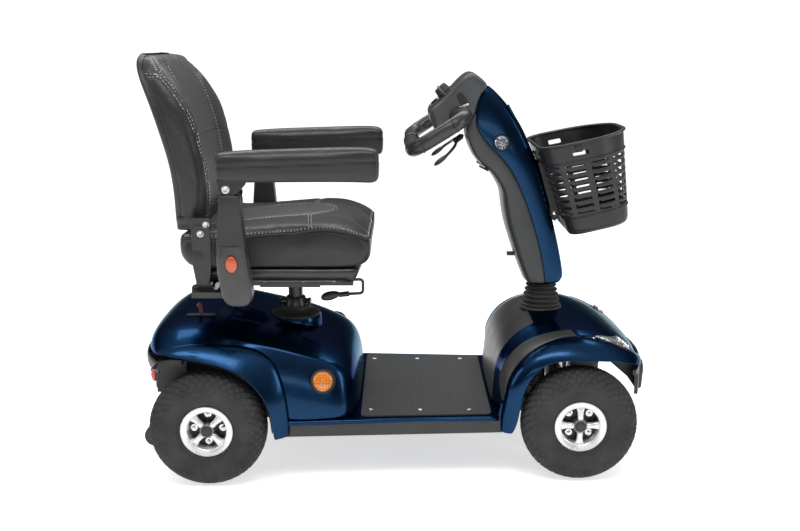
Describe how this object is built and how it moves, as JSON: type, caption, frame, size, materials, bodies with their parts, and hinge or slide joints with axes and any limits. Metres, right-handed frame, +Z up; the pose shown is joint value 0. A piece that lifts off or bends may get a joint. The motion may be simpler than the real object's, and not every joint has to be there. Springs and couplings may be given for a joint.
{
  "type": "mobility scooter",
  "caption": "Four-wheeled electric mobility scooter with a padded swivel seat, folding backrest, flip-up armrests, tilting tiller and a front basket.",
  "frame": {"origin": "on the ground under the middle of the scooter's bounding box", "axes": "+X towards the front of the scooter, +Y to the rider's left, +Z up"},
  "size_m": [1.201, 0.592, 0.958],
  "materials": {
    "frame_paint": "satin black paint",
    "machine_steel": "machined",
    "battery_case": "moulded",
    "blue_paint": "deep metallic blue gloss",
    "mat_rubber": "moulded rubber",
    "dark_plastic": "fine grain",
    "black_plastic": "fine grain",
    "grey_plastic": "fine grain",
    "console_grey": "silver-grey satin",
    "red_lens": "clear red",
    "amber_lens": "prismatic amber",
    "clear_lens": "clear",
    "tyre_rubber": "treaded",
    "alloy": "silver",
    "seat_vinyl": "grained vinyl",
    "pad_vinyl": "grained vinyl",
    "black_steel": "black powder coat",
    "key_brass": "plated",
    "lever_red": "dark red"
  },
  "bodies": {
    "chassis": {"chassis_frame": "frame_paint", "transaxle": "machine_steel", "batteries": "battery_case", "controller": "battery_case", "floor_pan": "blue_paint", "floor_mat": "mat_rubber", "mat_screws": "machine_steel", "sill_trims": "dark_plastic", "rear_cover": "blue_paint", "rear_bumper": "dark_plastic", "tail_lights": "red_lens", "side_reflectors": "amber_lens", "front_cover": "blue_paint", "leg_shield": "grey_plastic", "front_trims": "grey_plastic", "headlights": "clear_lens", "front_bumper": "dark_plastic", "seat_post": "black_steel", "seat_post_boot": "mat_rubber"},
    "rear_wheel_left": {"tyre_rear_left": "tyre_rubber", "rim_rear_left": "alloy"},
    "rear_wheel_right": {"tyre_rear_right": "tyre_rubber", "rim_rear_right": "alloy"},
    "front_wheel_left": {"tyre_front_left": "tyre_rubber", "rim_front_left": "alloy"},
    "front_wheel_right": {"tyre_front_right": "tyre_rubber", "rim_front_right": "alloy"},
    "anti_tip_left": {"anti_tip_wheel_left": "mat_rubber"},
    "anti_tip_right": {"anti_tip_wheel_right": "mat_rubber"},
    "steering": {"steering_stem": "frame_paint", "tiller_bellows": "mat_rubber"},
    "tie_rod_left": {"tie_rod_left": "machine_steel"},
    "tie_rod_right": {"tie_rod_right": "machine_steel"},
    "knuckle_left": {"knuckle_left": "machine_steel"},
    "knuckle_right": {"knuckle_right": "machine_steel"},
    "tiller": {"tiller_tube": "frame_paint", "tiller_front_cover": "blue_paint", "tiller_rear_cover": "grey_plastic", "tiller_head": "console_grey", "handlebar": "console_grey", "tiller_lamps": "clear_lens", "basket": "black_plastic", "basket_bracket": "black_plastic"},
    "knob": {"speed_knob": "black_plastic"},
    "horn": {"horn_button": "black_plastic"},
    "key": {"ignition_key": "key_brass"},
    "throttle": {"throttle_lever": "black_plastic"},
    "tilt_latch": {"tilt_lever": "black_plastic"},
    "swivel": {"swivel_plate": "frame_paint"},
    "swivel_release": {"swivel_lever": "black_plastic"},
    "seat": {"seat_pan": "frame_paint", "seat_cushion": "seat_vinyl"},
    "slide_release": {"slide_lever": "black_steel"},
    "backrest": {"backrest_shell": "dark_plastic", "backrest_cushion": "seat_vinyl"},
    "arm_left": {"arm_post_left": "dark_plastic"},
    "arm_right": {"arm_post_right": "dark_plastic"},
    "armrest_left": {"armrest_left": "pad_vinyl"},
    "armrest_right": {"armrest_right": "pad_vinyl"},
    "freewheel": {"freewheel_lever": "lever_red"}
  },
  "joints": [
    {"name": "rear_wheel_left_spin", "type": "hinge", "parent": "chassis", "child": "rear_wheel_left", "pos_m": [-0.4193, 0.2535, 0.133], "axis": [0, 1, 0], "continuous": true},
    {"name": "rear_wheel_right_spin", "type": "hinge", "parent": "chassis", "child": "rear_wheel_right", "pos_m": [-0.4193, -0.2535, 0.133], "axis": [0, 1, 0], "continuous": true},
    {"name": "steer", "type": "hinge", "parent": "chassis", "child": "steering", "pos_m": [0.36, 0, 0.25], "axis": [0, 0, 1], "range_deg": [-25, 25]},
    {"name": "knuckle_left_turn", "type": "hinge", "parent": "chassis", "child": "knuckle_left", "pos_m": [0.423, 0.172, 0.133], "axis": [0, 0, 1], "range_deg": [-25, 25]},
    {"name": "knuckle_right_turn", "type": "hinge", "parent": "chassis", "child": "knuckle_right", "pos_m": [0.423, -0.172, 0.133], "axis": [0, 0, 1], "range_deg": [-25, 25]},
    {"name": "tie_rod_left_swing", "type": "hinge", "parent": "steering", "child": "tie_rod_left", "pos_m": [0.315, 0, 0.171], "axis": [0, 0, 1], "range_deg": [-25, 25]},
    {"name": "tie_rod_right_swing", "type": "hinge", "parent": "steering", "child": "tie_rod_right", "pos_m": [0.315, 0, 0.155], "axis": [0, 0, 1], "range_deg": [-25, 25]},
    {"name": "front_wheel_left_spin", "type": "hinge", "parent": "knuckle_left", "child": "front_wheel_left", "pos_m": [0.423, 0.2245, 0.133], "axis": [0, 1, 0], "continuous": true},
    {"name": "front_wheel_right_spin", "type": "hinge", "parent": "knuckle_right", "child": "front_wheel_right", "pos_m": [0.423, -0.2245, 0.133], "axis": [0, 1, 0], "continuous": true},
    {"name": "anti_tip_left_spin", "type": "hinge", "parent": "chassis", "child": "anti_tip_left", "pos_m": [-0.578, 0.11, 0.053], "axis": [0, 1, 0], "continuous": true},
    {"name": "anti_tip_right_spin", "type": "hinge", "parent": "chassis", "child": "anti_tip_right", "pos_m": [-0.578, -0.11, 0.053], "axis": [0, 1, 0], "continuous": true},
    {"name": "tiller_tilt", "type": "hinge", "parent": "steering", "child": "tiller", "pos_m": [0.36, 0, 0.38], "axis": [0, 1, 0], "range_deg": [0, 30], "deforming": ["tiller_bellows"]},
    {"name": "speed_knob_turn", "type": "hinge", "parent": "tiller", "child": "knob", "pos_m": [0.12, 0, 0.8651], "axis": [-0.6794, 0, 0.7338], "range_deg": [-135, 135]},
    {"name": "horn_press", "type": "slide", "parent": "tiller", "child": "horn", "axis": [0.6794, 0, -0.7338], "range_m": [0, 0.002], "stiffness_N_per_m": 400},
    {"name": "key_turn", "type": "hinge", "parent": "tiller", "child": "key", "pos_m": [0.11788, -0.042, 0.86412], "axis": [-0.6794, 0, 0.7338], "range_deg": [0, 45]},
    {"name": "throttle_rock", "type": "hinge", "parent": "tiller", "child": "throttle", "pos_m": [0.164, 0, 0.768], "axis": [0.7913, 0, 0.6114], "range_deg": [-12, 12], "stiffness_Nm_per_rad": 2},
    {"name": "tilt_latch_press", "type": "hinge", "parent": "tiller", "child": "tilt_latch", "pos_m": [0.308, 0, 0.48], "axis": [0, 1, 0], "range_deg": [0, 20], "stiffness_Nm_per_rad": 0.5},
    {"name": "seat_swivel", "type": "hinge", "parent": "chassis", "child": "swivel", "pos_m": [-0.243, 0, 0.424], "axis": [0, 0, 1], "range_deg": [-12, 12]},
    {"name": "swivel_release_turn", "type": "hinge", "parent": "swivel", "child": "swivel_release", "pos_m": [-0.196, 0.086, 0.42], "axis": [0, 0, 1], "range_deg": [0, 20], "stiffness_Nm_per_rad": 1},
    {"name": "seat_slide", "type": "slide", "parent": "swivel", "child": "seat", "axis": [1, 0, 0], "range_m": [-0.06, 0.04]},
    {"name": "slide_release_lift", "type": "hinge", "parent": "seat", "child": "slide_release", "pos_m": [-0.128, -0.138, 0.446], "axis": [0, -1, 0], "range_deg": [0, 12], "stiffness_Nm_per_rad": 2},
    {"name": "backrest_fold", "type": "hinge", "parent": "seat", "child": "backrest", "pos_m": [-0.424, 0, 0.573], "axis": [0, 1, 0], "range_deg": [0, 65]},
    {"name": "arm_left_width", "type": "slide", "parent": "seat", "child": "arm_left", "axis": [0, 1, 0], "range_m": [0, 0.04]},
    {"name": "arm_right_width", "type": "slide", "parent": "seat", "child": "arm_right", "axis": [0, -1, 0], "range_m": [0, 0.04]},
    {"name": "armrest_left_flip", "type": "hinge", "parent": "arm_left", "child": "armrest_left", "pos_m": [-0.355, 0.2735, 0.679], "axis": [0, -1, 0], "range_deg": [0, 92]},
    {"name": "armrest_right_flip", "type": "hinge", "parent": "arm_right", "child": "armrest_right", "pos_m": [-0.355, -0.2735, 0.679], "axis": [0, -1, 0], "range_deg": [0, 92]},
    {"name": "freewheel_throw", "type": "hinge", "parent": "chassis", "child": "freewheel", "pos_m": [-0.445, -0.12, 0.32], "axis": [0, 1, 0], "range_deg": [0, 25]}
  ],
  "couplings": [
    {"joint": "knuckle_left_turn", "follows": "steer", "ratio": 1},
    {"joint": "knuckle_right_turn", "follows": "steer", "ratio": 1},
    {"joint": "tie_rod_left_swing", "follows": "steer", "ratio": -1},
    {"joint": "tie_rod_right_swing", "follows": "steer", "ratio": -1}
  ]
}
